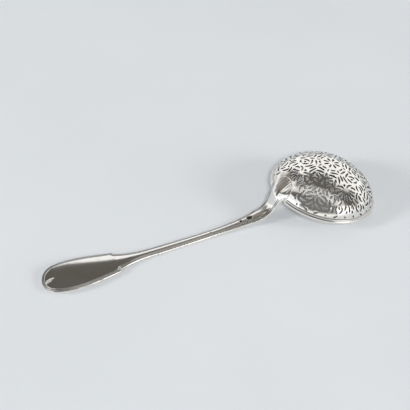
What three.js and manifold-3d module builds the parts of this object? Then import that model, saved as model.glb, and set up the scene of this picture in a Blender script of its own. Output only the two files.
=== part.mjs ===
// Sugar sifter spoon, lying face down: a pierced silver bowl with a moulded wire round its lip,
// on a fiddle-shaped handle with threaded edges.
// Millimetres, +Z up, +X from the handle to the bowl, the table at Z = 0, the middle of the length at X = 0.
import * as THREE from "three";
import { mergeVertices } from "three/addons/utils/BufferGeometryUtils.js";
import Module from "manifold-3d";

// Whole spoon
const overallLength = 205;
const seam = 0.3; // solder gap between two pieces

// Bowl, measured on the outside of its wall
const bowlDiameter = 61.6;
const bowlDepth = 20.8;
const bowlWall = 0.9;
const shoulderRadius = 14; // arc from the dome into the upright lip
const bowlAngle = THREE.MathUtils.degToRad(14.5); // the far lip lies on the table
const bowlSides = 40;
const domeSides = 7;
const shoulderSides = 3;

// Wire round the lip: an upright foot, a slope above it and a fine reed along the upper edge
const mouldingHeight = 2; // foot and slope together
const mouldingThickness = 0.45;
const slopeHeight = 0.75;
const footRound = 0.2;
const reedHeight = 0.8;
const reedThickness = 0.25;
const wireBacking = 0.1; // flat strip behind them

// Pierced pattern
const chartRepeats = 4;
const tonguePlain = 1.2; // metal left uncut round the tongue

// Handle, positions along it measured from the tip of the blade
const bladeHalfWidth = 11.8;
const bladeWidestAt = 17;
const shoulderAt = 43.5;
const shoulderHalfWidth = 8.1;
const notchDepth = 1.6;
const stemFrom = 66;
const stemHalfWidth = 3;
const waistAt = 103;
const waistHalfWidth = 2.6;
const earHalfWidth = 4.6;
const earBeforeLip = 17;
const neckHalfWidth = 5.8;
const tongueHalfWidth = 8; // also the radius of its round end
const tongueRise = 12.8; // how far the tongue climbs the bowl above the lip
const wrapFrom = 13; // how far before the lip the handle starts to curve round the bowl
const bladeThickness = 1.8;
const stemThickness = 2.2;
const neckThickness = 2.6;
const tongueThickness = 1;
const bladeAngle = THREE.MathUtils.degToRad(2.4); // the blade rises to its tip
const tipLength = 9; // stretch at the tip that turns down
const tipDrop = 2.5;
const bladeStraightTo = 62;
const stemLowAt = 82; // the stem lies on the table here
const neckLength = 12; // how far before the lip the neck starts to turn up
const neckAngle = THREE.MathUtils.degToRad(10.5);

// Thread along both edges of the handle
const threadInset = 2;
const threadWidth = 0.9;
const threadDepth = 0.25;
const edgeRound = 0.45;

const wasm = await Module();
wasm.setup();

const silver = new THREE.MeshStandardMaterial({ color: 0xd9d6cf, roughness: 0.16, metalness: 1 });
const wireSilver = new THREE.MeshStandardMaterial({ color: 0xd2cfc8, roughness: 0.2, metalness: 1 });
const handleSilver = new THREE.MeshStandardMaterial({ color: 0xd6d2ca, roughness: 0.18, metalness: 1 });

// A closed geometry as a solid that can be cut: shared corners merged, collapsed triangles dropped.
function solid(geometry) {
  const bare = geometry.clone();
  bare.deleteAttribute("normal");
  bare.deleteAttribute("uv");
  const merged = mergeVertices(bare, 1e-4);
  const index = merged.getIndex().array;
  const triVerts = [];
  for (let i = 0; i < index.length; i += 3) {
    const [a, b, c] = [index[i], index[i + 1], index[i + 2]];
    if (a !== b && b !== c && c !== a) {
      triVerts.push(a, b, c);
    }
  }
  const vertProperties = new Float32Array(merged.getAttribute("position").array);
  const mesh = new wasm.Mesh({ numProp: 3, vertProperties, triVerts: new Uint32Array(triVerts) });
  return new wasm.Manifold(mesh);
}

function namedMesh(name, body, material) {
  const { vertProperties, triVerts } = body.getMesh();
  const geometry = new THREE.BufferGeometry();
  geometry.setAttribute("position", new THREE.BufferAttribute(vertProperties, 3));
  geometry.setIndex(new THREE.BufferAttribute(triVerts, 1));
  geometry.computeVertexNormals();
  const mesh = new THREE.Mesh(geometry, material);
  mesh.name = name;
  return mesh;
}

// A profile of (radius, height) points turned round the bowl's upright axis.
function turned(profile) {
  return new THREE.LatheGeometry(profile, bowlSides).rotateX(Math.PI / 2);
}

// Bowl profile: a wide dome arc and a small shoulder arc that meet in one direction.
const lipRadius = bowlDiameter / 2;
const shoulderCentre = lipRadius - shoulderRadius;
const domeRadius =
  (shoulderCentre ** 2 + bowlDepth ** 2 - shoulderRadius ** 2) / (2 * (bowlDepth - shoulderRadius));
const domeCentre = bowlDepth - domeRadius;
const domeTurn = Math.atan2(shoulderCentre, -domeCentre);
const domeArc = domeRadius * domeTurn;
const lipArc = domeArc + shoulderRadius * (Math.PI / 2 - domeTurn);

// The pattern's chart is drawn flat, on a disc of 42 units from the crown to the lip.
const chartUnit = lipArc / 42;

// Point of the bowl's outside at an arc length from the crown, moved out along its normal by offset.
function bowlPoint(arc, offset = 0) {
  if (arc < domeArc) {
    const turn = arc / domeRadius;
    const reach = domeRadius + offset;
    return { turn, radius: reach * Math.sin(turn), height: domeCentre + reach * Math.cos(turn) };
  }
  const turn = domeTurn + (arc - domeArc) / shoulderRadius;
  const reach = shoulderRadius + offset;
  return { turn, radius: shoulderCentre + reach * Math.sin(turn), height: reach * Math.cos(turn) };
}

// Profile points from the lip up to the crown.
function bowlProfile(offset) {
  const arcs = [];
  for (let i = 0; i < shoulderSides; i++) {
    arcs.push(lipArc - ((lipArc - domeArc) * i) / shoulderSides);
  }
  for (let i = 0; i < domeSides; i++) {
    arcs.push(domeArc * (1 - i / domeSides) - 1e-9);
  }
  const points = arcs.map((arc) => {
    const { radius, height } = bowlPoint(arc, offset);
    return new THREE.Vector2(radius, height);
  });
  points.push(new THREE.Vector2(0, bowlDepth + offset));
  return points;
}

// One opening of the chart: its place across and along the motif's axis, the turn of its length,
// its length and width, the bend of its length and where along it the widest place is.
function opening(across, along, turn, length, width, bend = 0, head = 0.5) {
  return { across, along, turn, length, width, bend, head };
}

// An opening at a distance and an angle from a centre on the motif's axis, pointing away from it.
function ray(centre, distance, angle, length, width, bend = 0, head = 0.62) {
  const a = THREE.MathUtils.degToRad(angle);
  return opening(distance * Math.sin(a), centre + distance * Math.cos(a), angle, length, width, bend, head);
}

const rosette = [];
for (let i = 0; i < 8; i++) {
  rosette.push(ray(0, 3.5, i * 45, 4, 1.4));
  const slit = ray(0, 7.2, i * 45 + 22.5, 3.6, 1.1, 30, 0.5);
  rosette.push({ ...slit, turn: slit.turn + 90 });
}
const onAxis = [
  opening(0, 8.2, 0, 2.4, 1),
  opening(0, 13.2, 0, 5, 1.2, 0, 0.6),
  opening(0, 18.2, 0, 1.6, 1.5),
  opening(0, 25.6, 0, 6.6, 1.4, 0, 0.62),
  opening(0, 33, 0, 4.4, 1.3, 0, 0.6),
];
const onDiagonal = [
  ray(0, 8.2, 45, 2.4, 1),
  ray(0, 12.2, 45, 3.6, 1.3),
  ray(0, 18, 45, 4.4, 1.5),
  ray(0, 23.8, 45, 2.6, 1.3),
  ray(0, 29.4, 45, 4.6, 1.3),
  ray(0, 34.8, 45, 2.6, 1.2),
];
const besideAxis = [
  opening(2.7, 14.4, 14, 5.8, 1.1, 44, 0.45),
  opening(5.8, 15, 40, 4.4, 1.2, 40),
  ray(20.6, 5, 22, 6.2, 1.3, 16),
  ray(20.6, 4.9, 44, 5.8, 1.3, 24),
  ray(20.6, 4.7, 67, 5.4, 1.25, 34),
  opening(10.2, 20, 10, 4.6, 1.2, 85, 0.4),
  opening(13.9, 19.4, 30, 5.2, 1.2, -85, 0.4),
  opening(6.2, 28.4, 48, 4.4, 1.2, 34, 0.6),
  opening(14.4, 26.6, 35, 4.2, 1.2, 50, 0.6),
  opening(3.2, 31.6, 22, 4.6, 1.2, 24, 0.62),
  opening(13.6, 31, 35, 4.2, 1.2, 66, 0.6),
];

function mirrored(o) {
  return { ...o, across: -o.across, turn: -o.turn, bend: -o.bend };
}

// Leaf outline round a bent midline, pointed at both ends, with y along the leaf.
function leaf({ length, width, bend, head }) {
  const skew = Math.log(0.5) / Math.log(head);
  const sweep = THREE.MathUtils.degToRad(bend);
  const midline = (t) => {
    const turn = sweep * (t - 0.5);
    if (sweep === 0) {
      return { x: 0, y: length * (t - 0.5), turn };
    }
    const radius = length / sweep;
    return { x: radius * (Math.cos(sweep / 2) - Math.cos(turn)), y: radius * Math.sin(turn), turn };
  };
  const corner = (t, side) => {
    const { x, y, turn } = midline(t);
    const half = (side * width * Math.sin(Math.PI * t ** skew) ** 0.7) / 2;
    return new THREE.Vector2(x + half * Math.cos(turn), y - half * Math.sin(turn));
  };
  const near = 1 / 3;
  const far = 2 / 3;
  return new THREE.Shape([
    corner(0, 0), corner(near, 1), corner(far, 1), corner(1, 0), corner(far, -1), corner(near, -1),
  ]);
}

// A straight punch of the opening's outline, set square to the bowl wall at the opening's place.
function punch(o, axisAngle) {
  const clear = 0.7;
  const around = Math.atan2(o.across, o.along);
  const { turn, radius, height } = bowlPoint(Math.hypot(o.across, o.along) * chartUnit);
  const angle = axisAngle - around;
  const outward = new THREE.Vector3(Math.cos(angle), Math.sin(angle), 0);
  const up = new THREE.Vector3(0, 0, 1);
  const normal = outward.clone().multiplyScalar(Math.sin(turn)).addScaledVector(up, Math.cos(turn));
  const down = outward.clone().multiplyScalar(Math.cos(turn)).addScaledVector(up, -Math.sin(turn));
  const side = new THREE.Vector3().crossVectors(down, normal);
  const shape = leaf({ ...o, length: o.length * chartUnit, width: o.width * chartUnit });
  const geometry = new THREE.ExtrudeGeometry(shape, { depth: bowlWall + 2 * clear, bevelEnabled: false });
  geometry.translate(0, 0, -bowlWall - clear);
  geometry.rotateZ(around - THREE.MathUtils.degToRad(o.turn));
  geometry.applyMatrix4(new THREE.Matrix4().makeBasis(side, down, normal));
  const place = outward.multiplyScalar(radius).addScaledVector(up, height);
  return geometry.translate(place.x, place.y, place.z);
}

// The metal under and round the tongue is left whole.
function underTongue(o, axisAngle) {
  const angle = axisAngle - Math.atan2(o.across, o.along);
  const arc = Math.hypot(o.across, o.along) * chartUnit;
  const beside = bowlPoint(arc).radius * Math.sin(angle);
  const above = Math.max(0, lipArc - arc - (tongueRise - tongueHalfWidth));
  const reach = (o.length * chartUnit) / 2 + tonguePlain;
  return Math.cos(angle) < 0 && Math.hypot(beside, above) < tongueHalfWidth + reach;
}

const openings = rosette.map((o) => ({ o, axisAngle: 0 }));
for (let i = 0; i < chartRepeats; i++) {
  const axisAngle = (i * 2 * Math.PI) / chartRepeats;
  for (const o of [...onAxis, ...onDiagonal, ...besideAxis, ...besideAxis.map(mirrored)]) {
    openings.push({ o, axisAngle });
  }
}

// Bowl: inside from the crown to the lip, then outside from the lip to the crown.
const inside = bowlProfile(-bowlWall).reverse();
const outside = bowlProfile(0);
let bowlBody = solid(turned([...inside, ...outside]));
for (const { o, axisAngle } of openings) {
  if (!underTongue(o, axisAngle)) {
    bowlBody = bowlBody.subtract(solid(punch(o, axisAngle)));
  }
}

// Wire section: a flat back to the bowl, the foot and its slope, and the half-round reed above them.
const wireInside = lipRadius + seam;
const wireFace = wireInside + wireBacking;
const wireOutside = wireFace + mouldingThickness;
const wireHeight = mouldingHeight + reedHeight;
const wireProfile = [
  new THREE.Vector2(wireInside, wireHeight),
  new THREE.Vector2(wireInside, 0),
  new THREE.Vector2(wireOutside - footRound, 0),
  new THREE.Vector2(wireOutside, footRound),
  new THREE.Vector2(wireOutside, mouldingHeight - slopeHeight),
  new THREE.Vector2(wireFace, mouldingHeight),
];
for (const degrees of [-75, -40, 0, 40, 75]) {
  const a = THREE.MathUtils.degToRad(degrees);
  const up = mouldingHeight + (reedHeight / 2) * (1 + Math.sin(a));
  wireProfile.push(new THREE.Vector2(wireFace + reedThickness * Math.cos(a), up));
}
wireProfile.push(wireProfile[0].clone());
const neckGapWidth = 2 * (tongueHalfWidth + seam);
const neckGap = new THREE.BoxGeometry(neckGapWidth, neckGapWidth, 2 * wireHeight);
neckGap.translate(-wireOutside, 0, wireHeight / 2);
const wireBody = solid(turned(wireProfile)).subtract(solid(neckGap));

// Place of the bowl: the wire's far lower edge on the table and its far side at the spoon's full length.
const tilted = wireProfile.map((p) => ({
  x: p.x * Math.cos(bowlAngle) + p.y * Math.sin(bowlAngle),
  z: -p.x * Math.sin(bowlAngle) + p.y * Math.cos(bowlAngle),
}));
const bowlX = overallLength - Math.max(...tilted.map((p) => p.x));
const bowlZ = -Math.min(...tilted.map((p) => p.z));

// A point of the bowl's own upright section, seen from the handle, in the spoon's frame.
function fromBowl(back, height) {
  const x = bowlX - back * Math.cos(bowlAngle) + height * Math.sin(bowlAngle);
  const z = bowlZ + back * Math.sin(bowlAngle) + height * Math.cos(bowlAngle);
  return new THREE.Vector3(x, 0, z);
}

// Midline of the handle: the tip turned down, the straight blade, the stem down to the table and up again,
// the neck up to the lip and the tongue along the bowl.
const stemLow = new THREE.Vector3(stemLowAt, 0, stemThickness / 2);
const bladeDirection = new THREE.Vector3(Math.cos(bladeAngle), 0, -Math.sin(bladeAngle));
const bladeEnd = new THREE.Vector3(bladeStraightTo, 0, 0);
bladeEnd.z = stemLow.z + ((stemLowAt - bladeStraightTo) / 2) * Math.tan(bladeAngle);
const bladeStart = bladeEnd.clone().addScaledVector(bladeDirection, -(bladeStraightTo - tipLength));
const tip = new THREE.Vector3(0, 0, bladeStart.z + tipLength * Math.tan(bladeAngle) - tipDrop);
const neckDirection = new THREE.Vector3(Math.cos(neckAngle), 0, Math.sin(neckAngle));
const atLip = fromBowl(lipRadius + seam + neckThickness / 2, 0);
const lipDirection = new THREE.Vector3(Math.sin(bowlAngle), 0, Math.cos(bowlAngle));
const neckStart = new THREE.Vector3(atLip.x - neckLength, 0, 0);
neckStart.z = stemLow.z + ((neckStart.x - stemLowAt) / 3) * Math.tan(neckAngle);
const tongueEnd = bowlPoint(lipArc - tongueRise, seam);
const atTongueEnd = fromBowl(tongueEnd.radius, tongueEnd.height);
const tongueDirection = fromBowl(-Math.cos(tongueEnd.turn), Math.sin(tongueEnd.turn)).sub(fromBowl(0, 0));

function bent(from, fromDirection, to, toDirection, pull) {
  const reach = from.distanceTo(to) * pull;
  const leave = from.clone().addScaledVector(fromDirection, reach);
  const arrive = to.clone().addScaledVector(toDirection, -reach);
  return new THREE.CubicBezierCurve3(from, leave, arrive, to);
}
const level = new THREE.Vector3(1, 0, 0);
const midline = new THREE.CurvePath();
const tipCorner = bladeStart.clone().addScaledVector(bladeDirection, -tipLength / 2);
midline.add(new THREE.QuadraticBezierCurve3(tip, tipCorner, bladeStart));
midline.add(new THREE.LineCurve3(bladeStart, bladeEnd));
midline.add(bent(bladeEnd, bladeDirection, stemLow, level, 0.36));
midline.add(bent(stemLow, level, neckStart, neckDirection, 0.36));
midline.add(bent(neckStart, neckDirection, atLip, lipDirection, 0.42));
midline.add(bent(atLip, lipDirection, atTongueEnd, tongueDirection, 0.36));
const lengths = midline.getCurveLengths();
const handleLength = lengths[5];
const lipAt = lengths[4];
const neckAt = lengths[3];
const earAt = lipAt - earBeforeLip;

// Half outline of the handle, laid out flat: distance along the midline and half width.
const edge = new THREE.Path();
edge.moveTo(0, 0);
edge.bezierCurveTo(
  0, bladeHalfWidth * 0.75,
  bladeWidestAt * 0.4, bladeHalfWidth,
  bladeWidestAt, bladeHalfWidth,
);
const bladeReach = (shoulderAt - bladeWidestAt) * 0.35;
edge.bezierCurveTo(
  bladeWidestAt + bladeReach, bladeHalfWidth,
  shoulderAt - bladeReach, shoulderHalfWidth + (bladeHalfWidth - shoulderHalfWidth) * 0.4,
  shoulderAt, shoulderHalfWidth,
);
const notchHalfWidth = shoulderHalfWidth - notchDepth;
edge.lineTo(shoulderAt + notchDepth * 0.5, notchHalfWidth);
edge.bezierCurveTo(
  shoulderAt + (stemFrom - shoulderAt) * 0.3, stemHalfWidth + (notchHalfWidth - stemHalfWidth) * 0.35,
  stemFrom - (stemFrom - shoulderAt) * 0.4, stemHalfWidth,
  stemFrom, stemHalfWidth,
);
edge.bezierCurveTo(
  stemFrom + (waistAt - stemFrom) * 0.4, stemHalfWidth,
  waistAt - (waistAt - stemFrom) * 0.4, waistHalfWidth,
  waistAt, waistHalfWidth,
);
edge.bezierCurveTo(
  waistAt + (earAt - waistAt) * 0.4, waistHalfWidth,
  earAt - (earAt - waistAt) * 0.2, waistHalfWidth + (earHalfWidth - waistHalfWidth) * 0.35,
  earAt, earHalfWidth,
);
edge.bezierCurveTo(
  earAt + earBeforeLip * 0.15, earHalfWidth * 0.9,
  lipAt - earBeforeLip * 0.5, earHalfWidth,
  lipAt, neckHalfWidth,
);
const tongueWidestAt = handleLength - tongueHalfWidth;
edge.bezierCurveTo(
  lipAt + (tongueWidestAt - lipAt) * 0.3, neckHalfWidth + (tongueHalfWidth - neckHalfWidth) * 0.3,
  lipAt + (tongueWidestAt - lipAt) * 0.6, tongueHalfWidth,
  tongueWidestAt, tongueHalfWidth,
);
edge.bezierCurveTo(
  tongueWidestAt + tongueHalfWidth * 0.55, tongueHalfWidth,
  handleLength, tongueHalfWidth * 0.55,
  handleLength, 0,
);

// Thickness along the handle, eased from each named place to the next.
const thicknesses = [
  [0, bladeThickness],
  [shoulderAt, bladeThickness],
  [stemLowAt, stemThickness],
  [neckAt, stemThickness],
  [lipAt, neckThickness],
  [handleLength, tongueThickness],
];
function thicknessAt(along) {
  for (let i = 1; i < thicknesses.length; i++) {
    const [from, fromThickness] = thicknesses[i - 1];
    const [to, toThickness] = thicknesses[i];
    if (along <= to) {
      const ease = THREE.MathUtils.smoothstep(along, from, to);
      return THREE.MathUtils.lerp(fromThickness, toThickness, ease);
    }
  }
  return tongueThickness;
}

// Half of the section across the handle: from the top face over the thread and the round edge
// to the bottom face.
function halfSection(half, thickness) {
  const fit = Math.min(1, half / (threadInset * 1.5));
  const high = (thickness / 2) * fit;
  const top = [
    [half - threadInset * fit, high],
    [half - (threadInset - threadWidth / 2) * fit, high - threadDepth * fit],
    [half - (threadInset - threadWidth) * fit, high],
    [half - edgeRound * fit, high - edgeRound * 0.4 * fit],
  ];
  const bottom = top.map(([across, up]) => [across, -up]).reverse();
  return [...top, [half, 0], ...bottom];
}

// Sections set square to the midline and joined by triangles; the first and last close to a point.
// From the neck on, each section curves round the bowl.
function handleGeometry() {
  const wrapRadius = lipRadius + seam;
  const stations = edge.getPoints(9);
  const positions = [];
  for (const { x: along, y: half } of stations) {
    const t = Math.min(along / handleLength, 1);
    const centre = midline.getPointAt(t);
    const direction = midline.getTangentAt(t);
    const up = new THREE.Vector3(-direction.z, 0, direction.x);
    const right = halfSection(half, thicknessAt(along)).map(([across, rise]) => [-across, rise]);
    const left = right.map(([across, rise]) => [-across, rise]).reverse();
    const wrap = THREE.MathUtils.smoothstep(along, lipAt - wrapFrom, lipAt);
    for (const [across, flatRise] of [...right, ...left]) {
      const rise = flatRise - wrap * (wrapRadius - Math.sqrt(wrapRadius ** 2 - across ** 2));
      positions.push(centre.x + up.x * rise, across, centre.z + up.z * rise);
    }
  }
  const around = positions.length / 3 / stations.length;
  const index = [];
  for (let i = 0; i + 1 < stations.length; i++) {
    for (let j = 0; j < around; j++) {
      const a = i * around + j;
      const b = i * around + ((j + 1) % around);
      index.push(a, b, a + around, b, b + around, a + around);
    }
  }
  const geometry = new THREE.BufferGeometry();
  geometry.setAttribute("position", new THREE.Float32BufferAttribute(positions, 3));
  geometry.setIndex(index);
  return geometry;
}

// The tongue is hollowed to sit on the bowl: the bowl's outside, grown by the seam, is cut from it.
const saddleProfile = bowlProfile(seam);
const saddleFoot = new THREE.Vector2(saddleProfile[0].x, -seam);
const saddle = turned([new THREE.Vector2(0, -seam), saddleFoot, ...saddleProfile]);
saddle.rotateY(bowlAngle).translate(bowlX, 0, bowlZ);
const handleBody = solid(handleGeometry()).subtract(solid(saddle));

const bowlGroup = new THREE.Group();
bowlGroup.add(namedMesh("bowl", bowlBody, silver));
bowlGroup.add(namedMesh("rim_wire", wireBody, wireSilver));
bowlGroup.position.set(bowlX, 0, bowlZ);
bowlGroup.rotation.y = bowlAngle;

const spoon = new THREE.Group();
spoon.add(bowlGroup);
spoon.add(namedMesh("handle", handleBody, handleSilver));
spoon.position.x = -overallLength / 2;

export default spoon;
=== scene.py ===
# %% [markdown]
# # A pierced silver sugar sifter spoon
# The spoon lies face down on a pale table. It has three pieces: a round bowl sawn through with leaf scrolls,
# a moulded wire soldered round the bowl's lip, and a long handle that widens to a flat blade.
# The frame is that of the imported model, so that each piece goes where its solid is. Sizes of the spoon are
# written in millimetres, and they become metres when a mesh is made.

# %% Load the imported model
import math

import bpy
import numpy as np
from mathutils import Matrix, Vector, kdtree
from mathutils.geometry import delaunay_2d_cdt


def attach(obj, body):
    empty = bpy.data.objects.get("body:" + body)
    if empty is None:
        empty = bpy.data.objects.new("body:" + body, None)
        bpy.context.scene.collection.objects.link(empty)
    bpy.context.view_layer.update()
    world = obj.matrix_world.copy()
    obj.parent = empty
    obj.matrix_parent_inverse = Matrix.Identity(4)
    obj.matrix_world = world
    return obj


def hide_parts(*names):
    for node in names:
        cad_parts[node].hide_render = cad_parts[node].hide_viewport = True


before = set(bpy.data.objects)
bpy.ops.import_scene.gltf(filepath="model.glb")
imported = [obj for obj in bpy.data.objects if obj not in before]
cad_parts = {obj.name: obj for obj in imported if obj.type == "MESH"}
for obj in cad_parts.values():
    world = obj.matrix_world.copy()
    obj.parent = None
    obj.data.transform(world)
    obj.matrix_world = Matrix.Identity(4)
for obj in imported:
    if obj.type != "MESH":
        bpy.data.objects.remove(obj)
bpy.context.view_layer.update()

MM = 0.001
bpy.ops.object.select_all(action="DESELECT")

# %% [markdown]
# ## The camera
# The camera looks down on the spoon from the front left. Its place was worked out from the spoon's own
# outline: the tip, the far lip and the edge of the bowl fall where the photograph has them. A long lens at
# some distance keeps the bowl from swelling towards the eye.

# %% Set the camera
azimuth = math.radians(-24.566)
elevation = math.radians(41.698)
camera_distance = 0.678769
look_at = Vector((0.007079, 0.025732, 0.0))
towards_camera = Vector((
    math.sin(azimuth) * math.cos(elevation),
    -math.cos(azimuth) * math.cos(elevation),
    math.sin(elevation),
))
bpy.ops.object.camera_add(
    location=look_at + towards_camera * camera_distance,
    rotation=towards_camera.to_track_quat("Z", "Y").to_euler(),
)
camera = bpy.context.object
camera.data.lens = 100
camera.data.sensor_width = 36
camera.data.clip_end = 50
bpy.context.scene.camera = camera
bpy.context.scene.view_settings.view_transform = "Standard"
print("camera at", tuple(round(x, 4) for x in camera.location))

# %% [markdown]
# ## Table and room
# Polished silver is a mirror, so the room matters as much as the lamps. Here the world paints the room by the
# direction of a look. A white sweep goes round the table: low on the camera's side, and up to about
# fifty-five degrees beyond the spoon. The ceiling and the camera's side are dark, apart from one pale beam
# across the ceiling, and so is a doorway far off on the left.
# Only the silver and the camera see that room. Light Path tells their looks from the light that falls on the
# table. The table gets a weak even light instead, because a dark room would make its shadows too deep.

# %% Helpers for node trees
def add_node(tree, kind, place=(0, 0), **values):
    node = tree.nodes.new(kind)
    node.location = place
    for name, value in values.items():
        setattr(node, name, value)
    return node


def fill(node, **inputs):
    for name, value in inputs.items():
        node.inputs[name.replace("_", " ")].default_value = value
    return node


def feed(tree, socket, term):
    """Link a socket to another one, or give it a plain value."""
    if isinstance(term, bpy.types.NodeSocket):
        tree.links.new(term, socket)
    else:
        socket.default_value = term


def reckon(tree, operation, place, *terms, **values):
    """The outcome of one step of arithmetic, whose terms are sockets or plain numbers."""
    node = add_node(tree, "ShaderNodeMath", place, operation=operation, **values)
    for socket, term in zip(node.inputs, terms):
        feed(tree, socket, term)
    return node.outputs[0]


def ramp(tree, place, value, start, stop, most=1.0):
    """From 0 to most as a value goes from start to stop."""
    node = fill(add_node(tree, "ShaderNodeMapRange", place), From_Min=start, From_Max=stop, To_Max=most)
    tree.links.new(value, node.inputs["Value"])
    return node.outputs["Result"]


def blend(tree, place, factor, first, second):
    """The first colour, going over into the second as a factor goes from 0 to 1."""
    node = add_node(tree, "ShaderNodeMix", place, data_type="RGBA")
    for name, term in (("Factor", factor), ("A", first), ("B", second)):
        feed(tree, node.inputs[name], term)
    return node.outputs["Result"]


# %% The table
table_shades = [(0.3, (0.712, 0.74, 0.762, 1)), (0.7, (0.742, 0.77, 0.792, 1))]

bpy.ops.mesh.primitive_plane_add(size=8, location=(0, 0, 0))
table = bpy.context.object
table.name = "table"
table_paint = bpy.data.materials.new("table_paint")
table_paint.use_nodes = True
tree = table_paint.node_tree
shader = tree.nodes["Principled BSDF"]
fill(shader, Roughness=0.6, Specular_IOR_Level=0.1)
place = add_node(tree, "ShaderNodeTexCoord", (-900, 0))
cloud = fill(add_node(tree, "ShaderNodeTexNoise", (-700, 0)), Scale=7.0, Detail=3.0)
tint = add_node(tree, "ShaderNodeValToRGB", (-450, 0))
for stop, (position, shade) in zip(tint.color_ramp.elements, table_shades):
    stop.position = position
    stop.color = shade
tree.links.new(place.outputs["Object"], cloud.inputs["Vector"])
tree.links.new(cloud.outputs["Fac"], tint.inputs["Fac"])
tree.links.new(tint.outputs["Color"], shader.inputs["Base Color"])
table.data.materials.append(table_paint)
print("table:", table.dimensions[:])

# %% The room that the silver mirrors
viewer_side = (-0.416, -0.909, 0.0)
door_side = (-0.57, 0.73, 0.37)
beam_across = (0.676, 0.736, -0.026)
beam_lift = 0.7  # how much of the dark the beam takes away
white_wall = (1.04, 1.04, 1.03, 1)
dark_wall = (0.125, 0.118, 0.105, 1)
even_light = 0.22  # on the table, as a share of the white wall's light

room = bpy.data.worlds.new("room")
bpy.context.scene.world = room
room.use_nodes = True
tree = room.node_tree
tree.nodes.clear()
look = add_node(tree, "ShaderNodeTexCoord", (-1400, 0))
split = add_node(tree, "ShaderNodeSeparateXYZ", (-1200, 200))
tree.links.new(look.outputs["Generated"], split.inputs["Vector"])


def facing(direction, start, stop, place, most=1.0):
    """From 0 to most as the look turns towards a direction, between two cosines."""
    turn = add_node(tree, "ShaderNodeVectorMath", (-1200, place), operation="DOT_PRODUCT")
    turn.inputs[1].default_value = direction
    tree.links.new(look.outputs["Generated"], turn.inputs[0])
    return ramp(tree, (-950, place), turn.outputs["Value"], start, stop, most)


ceiling = ramp(tree, (-950, 300), split.outputs["Z"], 0.80, 0.85)
above_table = ramp(tree, (-950, 50), split.outputs["Z"], 0.1, 0.3)
camera_side = facing(viewer_side, -0.3, -0.05, -200)
near_side = facing(viewer_side, 0.2, 0.5, -1450, most=0.07)
doorway = facing(door_side, 0.86, 0.98, -450, most=0.8)
beam_near = facing(beam_across, -0.34, -0.22, -700)
beam_far = facing(beam_across, 0.03, -0.06, -950)

dark_side = reckon(tree, "MULTIPLY", (-700, 0), camera_side, above_table)
dark_door = reckon(tree, "MULTIPLY", (-700, -250), doorway, above_table)
dark = reckon(tree, "MAXIMUM", (-500, 150), ceiling, dark_side)
dark = reckon(tree, "MAXIMUM", (-300, 50), dark, dark_door)
dark = reckon(tree, "SUBTRACT", (-300, -100), dark, near_side)
beam = reckon(tree, "MULTIPLY", (-700, -600), beam_near, beam_far)
dark = reckon(tree, "MULTIPLY_ADD", (-300, -200), beam, -beam_lift, dark, use_clamp=True)
print("dark parts of the room:", len(tree.nodes), "nodes")

# %% Who sees the room
light_path = add_node(tree, "ShaderNodeLightPath", (-700, -1200))
glossy, bounces, direct = (
    light_path.outputs[name] for name in ("Is Glossy Ray", "Diffuse Depth", "Is Camera Ray")
)
in_silver = reckon(tree, "GREATER_THAN", (-500, -1100), glossy, bounces)
seen = reckon(tree, "MAXIMUM", (-300, -1000), in_silver, direct)
dark_seen = reckon(tree, "MULTIPLY", (-200, 150), dark, seen)
strength = reckon(tree, "MULTIPLY_ADD", (-100, -300), seen, 1 - even_light, even_light)
background = add_node(tree, "ShaderNodeBackground", (150, 0))
output = add_node(tree, "ShaderNodeOutputWorld", (350, 0))
tree.links.new(blend(tree, (-100, 0), dark_seen, white_wall, dark_wall), background.inputs["Color"])
tree.links.new(strength, background.inputs["Strength"])
tree.links.new(background.outputs["Background"], output.inputs["Surface"])
print("room:", len(tree.nodes), "nodes")

# %% [markdown]
# ## Flag and lamps
# Photographers hold dark cards, called flags, beside silver to draw its shape. One stands just behind the
# handle here, hidden from the camera. The flat blade mirrors it and goes dark against the white table, and
# its cloth is paler towards the bowl, so that the stem doesn't go as dark as the blade.
# Two soft boxes stand low, one on the left and one in front on the right, for the white edges of the silver.
# Three more lamps light the table and stay out of all mirrors. The first is far off behind the camera, so the
# spoon hides that lamp's shadow. The other two, left and right, throw the two soft shadows.

# %% The flag behind the blade
flag_corners = [(-150, 31), (-72, 40), (-20, 55), (52, 53), (52, 95), (-150, 95)]
flag_behind = 52
flag_dark = (0.115, 0.108, 0.096, 1)
flag_pale = (0.25, 0.235, 0.205, 1)
fade_from, fade_to = -30, 5

bpy.ops.object.select_all(action="DESELECT")
bpy.ops.mesh.primitive_circle_add(vertices=len(flag_corners), radius=0.05, fill_type="NGON")
flag = bpy.context.object
flag.name = "flag"
for vertex, (x, z) in zip(flag.data.vertices, flag_corners):
    vertex.co = (x * MM, flag_behind * MM, z * MM)
flag_cloth = bpy.data.materials.new("flag_cloth")
flag_cloth.use_nodes = True
tree = flag_cloth.node_tree
shader = tree.nodes["Principled BSDF"]
fill(shader, Base_Color=(0.0, 0.0, 0.0, 1), Emission_Strength=1.0, Specular_IOR_Level=0.0)
place = add_node(tree, "ShaderNodeTexCoord", (-900, 0))
split = add_node(tree, "ShaderNodeSeparateXYZ", (-700, 0))
tree.links.new(place.outputs["Object"], split.inputs["Vector"])
fade = ramp(tree, (-500, 0), split.outputs["X"], fade_from * MM, fade_to * MM)
tree.links.new(blend(tree, (-250, 0), fade, flag_dark, flag_pale), shader.inputs["Emission Color"])
flag.data.materials.append(flag_cloth)
flag.visible_camera = False
flag.visible_diffuse = False
flag.visible_shadow = False
print("flag over", tuple(round(x, 3) for x in flag.dimensions))


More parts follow.
